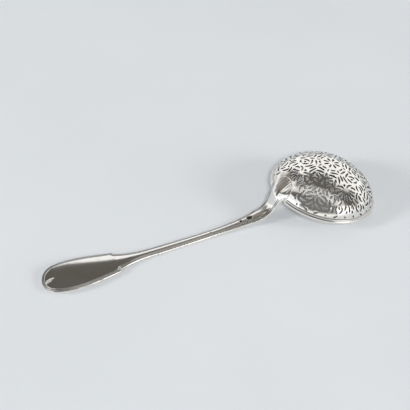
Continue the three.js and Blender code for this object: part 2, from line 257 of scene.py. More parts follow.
# %% The lamps
def soft_box(name, place, size, power, colour):
    place = Vector(place)
    bpy.ops.object.light_add(type="AREA", location=place, rotation=place.to_track_quat("Z", "Y").to_euler())
    lamp = bpy.context.object
    lamp.name = name
    lamp.data.shape = "RECTANGLE"
    lamp.data.size, lamp.data.size_y = size
    lamp.data.energy = power
    lamp.data.color = colour
    lamp.visible_camera = False
    print(name, "at", tuple(round(x, 2) for x in place))
    return lamp


soft_box("soft_box_left", (-1.25, 0.1, 0.4), (1.0, 0.7), 2, (0.9, 0.95, 1.0))
soft_box("soft_box_right", (0.7, -1.15, 0.5), (0.8, 0.6), 2, (1.0, 0.99, 0.97))
for name, place, size, power in (
    ("table_light_front", towards_camera * 30, (4.8, 4.8), 6000),
    ("table_light_left", (-3.6, 0.3, 1.7), (0.75, 0.75), 52),
    ("table_light_right", (2.7, -2.85, 1.7), (1.2, 1.2), 50),
):
    soft_box(name, place, size, power, (1.0, 1.0, 1.0)).visible_glossy = False

# %% [markdown]
# ## Sizes of the bowl
# The bowl's outside is a wide dome arc that runs into a small shoulder arc, and the lip stands upright.
# A point on it is named by its arc length from the crown, so the flat sheet that the bowl was raised from
# and the finished bowl share the same numbers. The sizes here are those of the solid.

# %% Shape of the bowl
overall_length = 205
seam = 0.3
bowl_wall = 0.9
bowl_depth = 20.8
lip_radius = 30.8
shoulder_radius = 14.0
bowl_angle = math.radians(14.5)
shoulder_centre = lip_radius - shoulder_radius
dome_rise = bowl_depth - shoulder_radius
dome_radius = (shoulder_centre**2 + bowl_depth**2 - shoulder_radius**2) / (2 * dome_rise)
dome_centre = bowl_depth - dome_radius
dome_turn = math.atan2(shoulder_centre, -dome_centre)
dome_arc = dome_radius * dome_turn
lip_arc = dome_arc + shoulder_radius * (math.pi / 2 - dome_turn)


def bowl_section(arc, offset=0.0):
    """Radius, height and turn of the wall at an arc length from the crown, moved out by offset."""
    arc = np.asarray(arc, float)
    on_dome = arc < dome_arc
    turn = np.where(on_dome, arc / dome_radius, dome_turn + (arc - dome_arc) / shoulder_radius)
    reach = np.where(on_dome, dome_radius, shoulder_radius) + offset
    radius = np.where(on_dome, 0.0, shoulder_centre) + reach * np.sin(turn)
    up = np.where(on_dome, dome_centre, 0.0) + reach * np.cos(turn)
    return radius, up, turn


print("arc from crown to lip:", round(lip_arc, 2), "mm")

# %% Section of the lip wire, and the place of the bowl
moulding_height, moulding_thickness = 2.0, 0.45
slope_height, foot_round = 0.75, 0.2
reed_height, reed_thickness = 0.8, 0.25
wire_backing = 0.1
wire_sink = 0.6  # into the wall, as the solder closes the joint
wire_face = lip_radius + seam + wire_backing
wire_outside = wire_face + moulding_thickness
wire_back = lip_radius - wire_sink
wire_section = [(wire_back, moulding_height + reed_height), (wire_back, 0.0)]
for a in np.radians(np.linspace(-90, 0, 5)):
    wire_section.append((wire_outside + foot_round * (math.cos(a) - 1), foot_round * (math.sin(a) + 1)))
wire_section += [(wire_outside, moulding_height - slope_height), (wire_face, moulding_height)]
for a in np.radians(np.linspace(-80, 80, 13)):
    wire_section.append((wire_face + reed_thickness * math.cos(a),
                         moulding_height + reed_height / 2 * (1 + math.sin(a))))

tilt_cos, tilt_sin = math.cos(bowl_angle), math.sin(bowl_angle)
bowl_x = overall_length / 2 - max(r * tilt_cos + z * tilt_sin for r, z in wire_section)
bowl_z = max(r * tilt_sin - z * tilt_cos for r, z in wire_section)


def lay_bowl(points):
    """Points of the upright bowl, in millimetres, tilted and set down on the table, in metres."""
    x, y, z = np.asarray(points, float).T
    return np.stack([
        bowl_x + tilt_cos * x + tilt_sin * z, y, bowl_z - tilt_sin * x + tilt_cos * z,
    ], axis=1) * MM


print("bowl axis meets the lip's plane at", round(bowl_x, 2), round(bowl_z, 2), "mm")

# %% [markdown]
# ## The pierced pattern
# The openings are leaves and slits, each drawn round a bent midline. The chart holds the main leaves: a
# rosette at the crown, a palmette on each of four axes and scrolls between them. One eighth is drawn, then
# mirrored and turned four times, as a silversmith repeats a paper pattern round the blank.
# One row of the chart is: across, along, turn, length, width, bend and where its widest place is.

# %% Chart of the main leaves
def opening(across, along, turn, length, width, bend=0, head=0.5):
    return dict(across=across, along=along, turn=turn, length=length, width=width, bend=bend, head=head)


def ray(centre, distance, angle, length, width, bend=0, head=0.62, lean=0):
    a = math.radians(angle)
    across, along = distance * math.sin(a), centre + distance * math.cos(a)
    return opening(across, along, angle + lean, length, width, bend, head)


rosette = [ray(0, 3.5, i * 45, 4.0, 1.4) for i in range(8)]
rosette += [ray(0, 7.2, 22.5 + i * 45, 3.6, 1.1, 30, 0.5, lean=90) for i in range(8)]
on_axis = [
    opening(0, 8.2, 0, 2.4, 1.0),
    opening(0, 13.2, 0, 5.0, 1.2, 0, 0.6),
    opening(0, 18.2, 0, 1.6, 1.5),
    opening(0, 25.6, 0, 6.6, 1.4, 0, 0.62),
    opening(0, 33.0, 0, 4.4, 1.3, 0, 0.6),
]
on_diagonal = [
    ray(0, 8.2, 45, 2.4, 1.0),
    ray(0, 12.2, 45, 3.6, 1.3),
    ray(0, 18.0, 45, 4.4, 1.5),
    ray(0, 23.8, 45, 2.6, 1.3),
    ray(0, 29.4, 45, 4.6, 1.3),
    ray(0, 34.8, 45, 2.6, 1.2),
]
beside_axis = [
    opening(2.7, 14.4, 14, 5.8, 1.1, 44, 0.45),
    opening(5.8, 15.0, 40, 4.4, 1.2, 40),
    ray(20.6, 5.0, 22, 6.2, 1.3, 16),
    ray(20.6, 4.9, 44, 5.8, 1.3, 24),
    ray(20.6, 4.7, 67, 5.4, 1.25, 34),
    opening(10.2, 20.0, 10, 4.6, 1.2, 85, 0.4),
    opening(13.9, 19.4, 30, 5.2, 1.2, -85, 0.4),
    opening(6.2, 28.4, 48, 4.4, 1.2, 34, 0.6),
    opening(14.4, 26.6, 35, 4.2, 1.2, 50, 0.6),
    opening(3.2, 31.6, 22, 4.6, 1.2, 24, 0.62),
    opening(13.6, 31.0, 35, 4.2, 1.2, 66, 0.6),
]


def mirrored(o):
    return dict(o, across=-o["across"], turn=-o["turn"], bend=-o["bend"])


main_leaves = on_axis + on_diagonal + beside_axis + [mirrored(o) for o in beside_axis]
print("main leaves:", len(rosette) + 4 * len(main_leaves))


# %% Outline of one opening on the flat sheet
chart_reach = 42  # units of the chart from the crown to the lip
chart_unit = lip_arc / chart_reach


def leaf(o, steps=7):
    """Leaf round a bent midline, pointed at both ends, with y along the leaf."""
    skew = math.log(0.5) / math.log(o["head"])
    sweep = math.radians(o["bend"])
    length = o["length"] * chart_unit
    t = np.arange(1, steps + 1) / (steps + 1)

    def midline(t):
        turn = sweep * (t - 0.5)
        if sweep == 0:
            return 0 * t, length * (t - 0.5), turn
        radius = length / sweep
        return radius * (math.cos(sweep / 2) - np.cos(turn)), radius * np.sin(turn), turn

    x, y, turn = midline(t)
    half = o["width"] * chart_unit / 2 * np.sin(math.pi * t**skew) ** 0.55
    right = np.stack([x + half * np.cos(turn), y - half * np.sin(turn)], axis=1)
    left = np.stack([x - half * np.cos(turn), y + half * np.sin(turn)], axis=1)
    ends = np.stack(midline(np.array([0.0, 1.0]))[:2], axis=1)
    return np.concatenate([ends[:1], right, ends[1:], left[::-1]])


def on_sheet(o, axis_angle):
    """Arc length and angle round the crown of each point of an opening."""
    around = math.atan2(o["across"], o["along"])
    spin = around - math.radians(o["turn"])
    x, y = leaf(o).T
    arc = math.hypot(o["across"], o["along"]) * chart_unit + x * math.sin(spin) + y * math.cos(spin)
    across = x * math.cos(spin) - y * math.sin(spin)
    return arc, axis_angle - around - across / np.maximum(bowl_section(arc)[0], 0.8)


def on_bowl(arc, angle):
    """Points of the upright bowl's outside."""
    radius, up, _ = bowl_section(arc)
    return np.stack([radius * np.cos(angle), radius * np.sin(angle), up], axis=-1)


print("one unit of the chart:", round(chart_unit, 3), "mm")

# %% [markdown]
# ### Small leaves between the main ones
# A piercer leaves bridges of much the same width everywhere, so the space between the main leaves is filled
# by rule. A net over one eighth of the bowl holds the distance from each of its points to the nearest
# opening. Leaves of four sizes, the longest first, are tried at every place. Each lies round the nearest
# scroll's centre, and it stays where a bridge of metal is left on all its sides.

# %% Net of the room that is left
bridge = 0.74
arc_step, angle_step = 0.25, math.radians(0.5)
claim_reach = 2.5
net_arcs = np.arange(0, lip_arc, arc_step)
net_angles = np.arange(math.radians(-60), math.radians(15), angle_step)
net_points = on_bowl(*np.meshgrid(net_arcs, net_angles, indexing="ij"))
room_left = np.full(net_points.shape[:2], 9.0)


def room_at(arc, angle):
    i = np.rint(np.asarray(arc) / arc_step).astype(int)
    j = np.rint((np.asarray(angle) - net_angles[0]) / angle_step).astype(int)
    return room_left[np.clip(i, 0, len(net_arcs) - 1), np.clip(j, 0, len(net_angles) - 1)]


def claim(o):
    """Take the space of an opening out of the room that is left."""
    arc, angle = on_sheet(o, 0.0)
    arc = np.concatenate([arc, (arc + np.roll(arc, -1)) / 2])
    angle = np.concatenate([angle, (angle + np.roll(angle, -1)) / 2])
    low = max(0, int((arc.min() - claim_reach) / arc_step))
    high = int((arc.max() + claim_reach) / arc_step) + 1
    gap = net_points[low:high, :, None] - on_bowl(arc, angle)
    room_left[low:high] = np.minimum(room_left[low:high], np.linalg.norm(gap, axis=-1).min(axis=-1))


for o in rosette + main_leaves:
    claim(o)
print("net of", room_left.size, "points")

# %% Lay the small leaves
scroll_centres = [  # across and along, and which way the leaves run round it
    ((8.8, 15.2), 1), ((17.6, 24.0), -1), ((9.4, 32.4), 1), ((3.6, 22.0), -1), ((11.5, 24.5), 1),
]
leaf_sizes = [  # length, width and where the widest place is
    (5.6, 1.2, 0.42), (4.2, 1.2, 0.4), (3.0, 1.15, 0.42), (2.0, 1.15, 0.45),
]
leans = (0.35, 0.0, 0.8, -0.4, 1.6)  # away from the scroll's centre, in the order tried
most_bend = 100  # degrees
border_at = 36.4
border_middle = 37.7


def round_scroll(across, along, lean):
    """Direction of a leaf round the nearest scroll, and its bend for each unit of length, in degrees."""
    here = np.array([across, along])
    centre, hand = min(scroll_centres, key=lambda scroll: np.hypot(*(here - scroll[0])))
    away = here - centre
    far = max(float(np.hypot(*away)), 1.2)
    flow = (hand * np.array([away[1], -away[0]]) + lean * away) / far
    return math.degrees(math.atan2(*flow)), hand * math.degrees(1 / far)


def fits(o):
    """A bridge is left to every other opening and to the opening's own mirror images."""
    arc, angle = on_sheet(o, 0.0)
    radius = bowl_section(arc)[0]
    from_mirrors = np.minimum(radius * np.sin(-angle), radius * np.sin(math.pi / 4 + angle)).min()
    below_border = arc.max() < border_at * chart_unit
    return below_border and from_mirrors > bridge / 2 and room_at(arc, angle).min() > bridge


small_leaves = []
for length, width, head in leaf_sizes:
    for distance in np.arange(6.5, 38, 0.45):
        for turn in np.radians(np.arange(1, 44.5, max(26 / distance, 0.6))):
            if room_at(distance * chart_unit, -turn) < bridge + 0.5 * width * chart_unit:
                continue
            across, along = distance * math.sin(turn), distance * math.cos(turn)
            for lean in leans:
                heading, curl = round_scroll(across, along, lean)
                bend = max(-most_bend, min(most_bend, curl * length))
                o = opening(across, along, heading, length, width, bend, head)
                if fits(o):
                    small_leaves.append(o)
                    claim(o)
                    break
border = []
for i in range(4):
    angle = 45 / 8 * (2 * i + 1)
    if i % 2:
        border.append(ray(0, border_middle, angle, 3.0, 1.1, lean=62))
    else:
        border.append(ray(0, border_middle, angle, 1.5, 1.3))
fine_leaves = small_leaves + border
motif = main_leaves + fine_leaves + [mirrored(o) for o in fine_leaves]
placed = [(o, 0.0) for o in rosette] + [(o, i * math.pi / 2) for i in range(4) for o in motif]
print("small leaves:", len(small_leaves), "in one eighth; openings in all:", len(placed))


# %% Leave the metal under and round the handle's tongue whole
tongue_half_width = 8.0  # also the radius of its round end
tongue_rise = 12.8
tongue_plain = 0.9  # metal left whole round it


def near_tongue(arc, angle):
    beside = bowl_section(arc)[0] * np.sin(angle)
    above = np.maximum(0, lip_arc - arc - (tongue_rise - tongue_half_width))
    close = np.hypot(beside, above) < tongue_half_width + tongue_plain
    return bool(np.any((np.cos(angle) < 0) & close))


outlines = []
for o, axis_angle in placed:
    for share in (1, 0.75, 0.5):
        outline = on_sheet(dict(o, length=o["length"] * share), axis_angle)
        if not near_tongue(*outline):
            outlines.append(outline)
            break
print("openings cut:", len(outlines))

# %% [markdown]
# ## The bowl
# A sifter's bowl is raised from one round of sheet and then sawn through. Hundreds of boolean cuts on a dome
# would be slow and leave ragged shading, so the sheet is made flat first: the outlines and an even net of
# points go to Blender's own triangulator, the triangles inside the openings are dropped, and the sheet is
# then raised into the bowl. Solidify gives it the thickness of the silver, and a small bevel softens the sawn
# edges.

# %% The flat sheet with its openings
net = 0.8
lip_count = 240

sheet_points = []
opening_loops = []
edge_finder = kdtree.KDTree(sum(4 * len(arc) for arc, angle in outlines))
for arc, angle in outlines:
    loop = np.stack([arc * np.cos(angle), arc * np.sin(angle)], axis=1)
    following = np.roll(loop, -1, axis=0)
    for part in range(4):
        for x, y in loop + (following - loop) * part / 4:
            edge_finder.insert((x, y, 0), 0)
    opening_loops.append(list(range(len(sheet_points), len(sheet_points) + len(loop))))
    sheet_points += [Vector(point) for point in loop]
edge_finder.balance()

lip_start = len(sheet_points)
for i in range(lip_count):
    angle = 2 * math.pi * i / lip_count
    sheet_points.append(Vector((lip_arc * math.cos(angle), lip_arc * math.sin(angle))))
lip_edges = [(lip_start + i, lip_start + (i + 1) % lip_count) for i in range(lip_count)]

for ring in range(1, int(lip_arc / net) + 1):
    arc = ring * net
    if arc > lip_arc - 0.5 * net:
        break
    count = max(6, round(2 * math.pi * bowl_section(arc)[0] / net))
    for i in range(count):
        angle = 2 * math.pi * (i + 0.5 * (ring % 2)) / count
        point = Vector((arc * math.cos(angle), arc * math.sin(angle)))
        if edge_finder.find((point.x, point.y, 0))[2] > 0.4 * net:
            sheet_points.append(point)

flat_points, _, triangles, _, _, inside = delaunay_2d_cdt(sheet_points, lip_edges, opening_loops, 0, 1e-5)
metal = [tri for tri, cut in zip(triangles, inside) if not cut]
used = sorted({i for tri in metal for i in tri})
number = {old: new for new, old in enumerate(used)}
metal = [[number[i] for i in tri] for tri in metal]
flat = np.array([flat_points[i] for i in used])
print("sheet:", len(used), "points,", len(metal), "triangles")

# %% Raise the sheet, give it thickness, soften the edges
sawn_edge = 0.06

arc, angle = np.hypot(flat[:, 0], flat[:, 1]), np.arctan2(flat[:, 1], flat[:, 0])
sheet = bpy.data.meshes.new("bowl_pierced")
sheet.from_pydata(lay_bowl(on_bowl(arc, angle)).tolist(), [], metal)
bowl = bpy.data.objects.new("bowl_pierced", sheet)
bpy.context.scene.collection.objects.link(bowl)


def work_on(piece):
    bpy.ops.object.select_all(action="DESELECT")
    piece.select_set(True)
    bpy.context.view_layer.objects.active = piece


def add_modifier(piece, kind, **values):
    work_on(piece)
    bpy.ops.object.modifier_add(type=kind)
    modifier = piece.modifiers[-1]
    for name, value in values.items():
        setattr(modifier, name, value)
    bpy.ops.object.modifier_apply(modifier=modifier.name)


add_modifier(bowl, "SOLIDIFY", thickness=bowl_wall * MM, offset=-1, use_even_offset=True)
add_modifier(bowl, "BEVEL", width=sawn_edge * MM, segments=2, limit_method="ANGLE",
             angle_limit=math.radians(50), use_clamp_overlap=False)
work_on(bowl)
bpy.ops.object.shade_smooth()
add_modifier(bowl, "WEIGHTED_NORMAL", weight=80, keep_sharp=False)
print("bowl:", len(bowl.data.polygons), "faces")

# %% [markdown]
# ## The lip wire
# The real wire is drawn with an upright foot, a slope and one fine reed, then bent to a ring whose two ends
# stop at the handle's tongue. A circle of points is laid out as its section, and Spin carries that section
# round the bowl's axis, which is what bending the wire does.

# %% Spin the section round the lip
bpy.ops.object.select_all(action="DESELECT")
bpy.ops.mesh.primitive_circle_add(vertices=len(wire_section), radius=0.001)
wire = bpy.context.object
wire.name = "lip_wire"
gap_angle = math.asin((tongue_half_width + seam) / (lip_radius + seam))
start_angle = math.pi - gap_angle  # Spin turns clockwise from here
for vertex, (r, z) in zip(wire.data.vertices, wire_section):
    vertex.co = Vector((r * math.cos(start_angle), r * math.sin(start_angle), z)) * MM
bpy.ops.object.mode_set(mode="EDIT")
bpy.ops.mesh.select_all(action="SELECT")
bpy.ops.mesh.spin(steps=220, angle=2 * (math.pi - gap_angle), center=(0, 0, 0), axis=(0, 0, 1))
bpy.ops.mesh.select_all(action="DESELECT")
bpy.ops.mesh.select_non_manifold(extend=False)
bpy.ops.mesh.edge_face_add()
bpy.ops.mesh.select_all(action="SELECT")
bpy.ops.mesh.remove_doubles(threshold=1e-7)
bpy.ops.mesh.normals_make_consistent(inside=False)
bpy.ops.object.mode_set(mode="OBJECT")
co = np.array([v.co[:] for v in wire.data.vertices]) / MM
turned = np.degrees(np.arctan2(co[:, 1], co[:, 0]))
print("wire from", round(turned.min()), "to", round(turned.max()), "degrees round the bowl")
wire.data.vertices.foreach_set("co", lay_bowl(co).ravel())
wire.data.update()
bpy.ops.object.shade_smooth_by_angle(angle=math.radians(26))

# %% [markdown]
# ## The handle's midline
# Seen from the side the handle is one long curve. Its tip turns down, the blade falls gently to the stem, the
# stem lies on the table at one place, and the neck rises to the lip and runs on as a tongue along the bowl.
# Six curve pieces that meet in one direction describe it.

# %% Midline from the tip to the end of the tongue
def curve(points, count=200):
    t = np.linspace(0, 1, count)[:, None]
    points = np.array(points, float)
    if len(points) == 2:
        return points[0] * (1 - t) + points[1] * t
    if len(points) == 3:
        return points[0] * (1 - t) ** 2 + points[1] * 2 * t * (1 - t) + points[2] * t**2
    return (points[0] * (1 - t) ** 3 + points[1] * 3 * t * (1 - t) ** 2
            + points[2] * 3 * t**2 * (1 - t) + points[3] * t**3)


def bent(start, start_direction, end, end_direction, pull):
    reach = np.hypot(*(end - start)) * pull
    return curve([start, start + start_direction * reach, end - end_direction * reach, end])


def direction(angle):
    return np.array([math.cos(angle), math.sin(angle)])


def from_bowl(back, up):
    """A point of the bowl's upright section on the handle's side: x and z in millimetres."""
    return np.array([bowl_x - back * tilt_cos + up * tilt_sin, bowl_z + back * tilt_sin + up * tilt_cos])


tip_x = -overall_length / 2
blade_angle, neck_angle = math.radians(2.4), math.radians(10.5)
tip_length, tip_drop = 9.0, 2.5
blade_straight_to = 62
stem_low_at = 82  # the stem lies on the table here
neck_length = 12
blade_thickness, stem_thickness, neck_thickness = 1.8, 2.2, 2.6
blade_fall = (stem_low_at - blade_straight_to) / 2 * math.tan(blade_angle)
stem_low = np.array([tip_x + stem_low_at, stem_thickness / 2])
blade_end = np.array([tip_x + blade_straight_to, stem_low[1] + blade_fall])
blade_start = blade_end - direction(-blade_angle) * (blade_straight_to - tip_length)
tip = np.array([tip_x, blade_start[1] + tip_length * math.tan(blade_angle) - tip_drop])
at_lip = from_bowl(lip_radius + seam + neck_thickness / 2, 0)
neck_start = np.array([at_lip[0] - neck_length, 0])
neck_start[1] = stem_low[1] + (neck_start[0] - stem_low[0]) / 3 * math.tan(neck_angle)
tongue_radius, tongue_up, tongue_turn = (float(v) for v in bowl_section(lip_arc - tongue_rise, seam))
tongue_end = from_bowl(tongue_radius, tongue_up)
tongue_direction = from_bowl(-math.cos(tongue_turn), math.sin(tongue_turn)) - from_bowl(0, 0)
lip_direction = np.array([tilt_sin, tilt_cos])
runs = [
    curve([tip, blade_start - direction(-blade_angle) * tip_length / 2, blade_start]),
    curve([blade_start, blade_end]),
    bent(blade_end, direction(-blade_angle), stem_low, direction(0), 0.36),
    bent(stem_low, direction(0), neck_start, direction(neck_angle), 0.36),
    bent(neck_start, direction(neck_angle), at_lip, lip_direction, 0.42),
    bent(at_lip, lip_direction, tongue_end, tongue_direction, 0.36),
]
ends = np.cumsum([np.hypot(*np.diff(run, axis=0).T).sum() for run in runs])
neck_at, lip_at, handle_length = ends[3], ends[4], ends[5]
midline = np.concatenate([runs[0]] + [run[1:] for run in runs[1:]])
along = np.concatenate([[0], np.cumsum(np.hypot(*np.diff(midline, axis=0).T))])


def on_midline(u):
    return np.array([np.interp(u, along, midline[:, 0]), np.interp(u, along, midline[:, 1])])


print("handle:", round(handle_length, 1), "mm along its midline, lip at", round(lip_at, 1))

# %% [markdown]
# ## The handle's outline and section
# Laid out flat, the handle is a broad blade with rounded shoulders, a narrow stem, a neck with two small ears
# and a tongue with a round end. Both edges carry two fine threads, which are grooves that follow the outline.
# The height of the face at any point is therefore worked out from its distance to the outline, so that the
# threads turn round the tip with the edge.

# %% Outline, laid out flat
tongue_at = handle_length - tongue_half_width
ear_at = lip_at - 17
widest = (17, 11.8)
shoulder = (43.5, 8.1)
notch = (44.3, 6.5)
stem = (66, 3)
waist = (103, 2.6)
ear = (ear_at, 4.6)
neck = (lip_at, 5.8)
tongue_side = (tongue_at, tongue_half_width)
waist_to_ear = ear_at - waist[0]
neck_to_tongue = tongue_at - lip_at
half_curves = [
    [(0, 0), (0, 8.85), (6.8, 11.8), widest],
    [widest, (26.3, 11.8), (34.2, 9.58), shoulder],
    [shoulder, notch],
    [notch, (50.25, 4.22), (57, 3), stem],
    [stem, (80.8, 3), (88.2, 2.6), waist],
    [waist, (waist[0] + waist_to_ear * 0.4, 2.6), (ear_at - waist_to_ear * 0.2, 3.3), ear],
    [ear, (ear_at + 2.55, 4.14), (lip_at - 8.5, 4.6), neck],
    [neck, (lip_at + 0.3 * neck_to_tongue, neck[1] + 0.66),
     (lip_at + 0.6 * neck_to_tongue, tongue_half_width), tongue_side],
    [tongue_side, (tongue_at + 4.4, tongue_half_width), (handle_length, 4.4), (handle_length, 0)],
]
outline = np.concatenate([curve(points, 160)[(1 if i else 0):] for i, points in enumerate(half_curves)])


def half_width(u):
    return np.interp(u, outline[:, 0], outline[:, 1])


def ease(x, start, stop):
    t = np.clip((np.asarray(x, float) - start) / (stop - start), 0, 1)
    return t * t * (3 - 2 * t)


def thickness(u):
    value = blade_thickness + (stem_thickness - blade_thickness) * ease(u, shoulder[0], stem_low_at)
    return value + (neck_thickness - stem_thickness) * ease(u, neck_at, lip_at)


def edge_distance(u, y):
    """Distance of points at one place along the handle to its outline."""
    close = outline[np.abs(outline[:, 0] - u) < 3.2]
    return np.sqrt((close[:, 0][None] - u) ** 2 + (close[:, 1][None] - y[:, None]) ** 2).min(axis=1)


print("widest", outline[:, 1].max(), "mm each side; waist", round(float(half_width(waist[0])), 2))

# %% Height of the top and bottom face
full_fit = 3.4  # half width from which the threads have their full size
edge_round = 0.6
thread_places = (0.8, 1.65)
thread_depth = 0.24
thread_spread, spread_more_at_neck = 0.22, 0.12
edge_drop = 0.3  # how far the edges lie below the full thickness, under the crown
blade_crown, crown_more_on_stem = 0.34, 0.2
ridge_height, ridge_spread = 0.45, 0.6
mark_depth = 0.16
punch_marks = [  # along, across, half length and half width
    (127.0, 0.0, 2.1, 1.5),
    (121.4, 0.2, 0.9, 0.9),
    (102.0, -0.2, 0.75, 0.6),
]


def round_edge(d, radius):
    """From 0 at an edge to 1 as far in as the edge is rounded, along a quarter circle."""
    return np.sqrt(np.clip(1 - (1 - np.minimum(d, radius) / max(radius, 1e-6)) ** 2, 0, 1))


def faces_at(u, y):
    """Heights of the top and bottom face over the midline, across one section, and how hidden the top is."""
    half = float(half_width(u))
    d = edge_distance(u, y)
    fit = min(1.0, half / full_fit)
    level = float(thickness(u)) / 2 * min(1.0, half / 1.2)
    rounding = round_edge(d, edge_round * fit)
    fading = 1 - float(ease(u, lip_at - 1, lip_at + 3))
    spread = (thread_spread + spread_more_at_neck * float(ease(u, ear_at - 4, ear_at + 4))) * fit + 1e-6
    grooves = sum(np.exp(-(((d - place * fit) / spread) ** 2)) for place in thread_places)
    grooves = fit * fading * grooves
    crown = (blade_crown + crown_more_on_stem * float(ease(u, 46, 70))) * min(1.0, half / 2.5)
    crown = crown * np.clip(1 - (y / max(half, 1e-6)) ** 2, 0, 1)
    top = (level - edge_drop) * rounding + crown - thread_depth * grooves
    bottom = -level * rounding + thread_depth * grooves
    shade = 0.8 * grooves
    ridge_along = float(ease(u, 1.5, 4) * (1 - ease(u, 5, 8.5)))
    top = top + ridge_height * np.exp(-((y / ridge_spread) ** 2)) * ridge_along * rounding
    for place, side, long, wide in punch_marks:
        reach = np.hypot((u - place) / long, (y - side) / wide)
        mark = 1 - ease(reach, 0.8, 1.05)
        top = top - mark_depth * mark
        shade = np.maximum(shade, mark)
    return top, bottom, shade


print("two threads at", thread_places, "mm from the edge")

# %% [markdown]
# ### The tongue
# Past the lip the neck thins out into a tongue that lies on the bowl. Its thin round edge and its underside
# are sunk a little into the wall, as the solder closes the joint there. Faint streaks run along it, left by
# the file and the polishing cloth, and they break up what it mirrors.

# %% Bend the faces onto the bowl
tongue_edge, tongue_round = 0.25, 0.5
edge_sink, underside_sink = 0.3, 0.35
streak_height = 0.016
streak_waves = [(5.1, 0.0, 0.7), (3.2, 0.9, 2.0)]  # turn across, turn along and start


def over_bowl(radius, up):
    """Height over the bowl's outside of points of its upright section."""
    over_dome = np.arctan2(radius, up - dome_centre) < dome_turn
    return np.where(over_dome, np.hypot(radius, up - dome_centre) - dome_radius,
                    np.hypot(radius - shoulder_centre, up) - shoulder_radius)


def onto_bowl(u, y, centre, top, bottom):
    """Heights of both faces, going over into those of the tongue past the lip."""
    turn_in = float(ease(u, lip_at - 2.5, lip_at + 3.5))
    share = float(np.clip((u - lip_at) / (handle_length - lip_at), 0, 1))
    x, z = centre[0] - bowl_x, centre[1] - bowl_z
    clear = float(over_bowl(tilt_sin * z - tilt_cos * x, max(tilt_sin * x + tilt_cos * z, 0)))
    half = max(float(half_width(u)), 1e-6)
    swell = (neck_thickness - tongue_edge) * (1 - float(ease(share, 0, 0.8))) ** 1.2
    body = tongue_edge + swell * (1 - np.clip(np.abs(y) / half, 0, 1) ** 2.4)
    rounding = round_edge(edge_distance(u, np.abs(y)), tongue_round)
    streaks = sum(np.sin(across * y + down * share + start) for across, down, start in streak_waves)
    flowing = (body + edge_sink) * rounding - edge_sink - clear
    flowing = flowing + streak_height * streaks * float(ease(share, 0.1, 0.4))
    hidden = -clear - underside_sink + 0 * y
    return top + (flowing - top) * turn_in, bottom + (hidden - bottom) * turn_in


print("tongue:", round(handle_length - lip_at, 1), "mm from the lip to its end")

# %% [markdown]
# ## The handle
# The real handle is forged from one bar. A flat grid is the start here: its columns become the points of a
# section and its rows the places along the midline. Every point is then moved to its place on the forged
# shape, and the two long sides of the grid are merged where they meet, along one edge of the handle. Rows are
# closer together where the form changes quickly: at the tip, the shoulders, the neck and the punch marks.

# %% Rows along the handle and columns across it
tip_rows_to, end_rows_from = 14, 6
even_rows = [  # from, to and step
    (14.4, 42.4, 0.5),
    (42.4, 47, 0.12),
    (47, 100.5, 0.6),
    (100.5, 103.5, 0.15),
    (103.5, 120, 0.5),
    (120, 129.6, 0.15),
    (129.6, handle_length - end_rows_from, 0.25),
]
rows = np.concatenate([
    tip_rows_to * (1 - np.cos(np.linspace(0, math.pi / 2, 70))),
    *(np.arange(*stretch) for stretch in even_rows),
    handle_length - end_rows_from * (1 - np.cos(np.linspace(math.pi / 2, 0, 40))),
])
edge_steps = np.concatenate([[0, 0.03, 0.08, 0.15, 0.24], np.arange(0.33, 2.35, 0.09)])
panel_steps = 16


def section_columns(u):
    half = float(half_width(u))
    edge = half - edge_steps * min(1.0, half / full_fit)
    panel = np.linspace(edge[-1], 0, panel_steps + 1)[1:]
    right = np.concatenate([edge, panel])
    return np.concatenate([right, -right[::-1][1:]])


columns = len(section_columns(widest[0]))
print(len(rows), "rows,", columns, "columns on each face")

# %% Shape of the forged handle, row by row
wrap_from = 13  # how far before the lip the handle starts to curve round the bowl
wrap_growth = 9  # how much wider that curve is at the tongue's end than at the lip
around = 2 * columns - 1
forged = np.zeros((len(rows), around, 3))
shaded = np.zeros((len(rows), around))


def there_and_back(over, under):
    """Values across the top face and then back across the bottom face."""
    return np.concatenate([over, under[::-1][1:]])


for i, u in enumerate(rows):
    y = section_columns(u)
    top, bottom, shade = faces_at(u, np.abs(y))
    centre = on_midline(u)
    top, bottom = onto_bowl(u, y, centre, top, bottom)
    before, after = np.clip([u - 0.15, u + 0.15], 0, handle_length)
    run = on_midline(after) - on_midline(before)
    run /= np.hypot(*run)
    outward = np.array([-run[1], run[0]])
    wrap_radius = lip_radius + seam + wrap_growth * float(ease(u, lip_at, handle_length))
    wrap = float(ease(u, lip_at - wrap_from, lip_at)) * (wrap_radius - np.sqrt(wrap_radius**2 - y**2))
    rise = there_and_back(top - wrap, bottom - wrap)
    shaded[i] = there_and_back(shade, shade)
    forged[i, :, 0] = centre[0] + outward[0] * rise
    forged[i, :, 1] = there_and_back(y, y)
    forged[i, :, 2] = centre[1] + outward[1] * rise
forged[:, -1] = forged[:, 0]
print("forged:", forged.shape[0] * forged.shape[1], "points")


# %% Grid to forged handle
def set_tarnish_and_shade(piece, values):
    """Keep on the mesh how dark each point is painted, from 0 to 1: tarnish where a polishing cloth doesn't
    reach, and painted shade on the walls of the bowl's openings.
    """
    layer = piece.data.attributes.new("hidden", "FLOAT", "POINT")
    layer.data.foreach_set("value", np.clip(values, 0, 1).astype(np.float32))


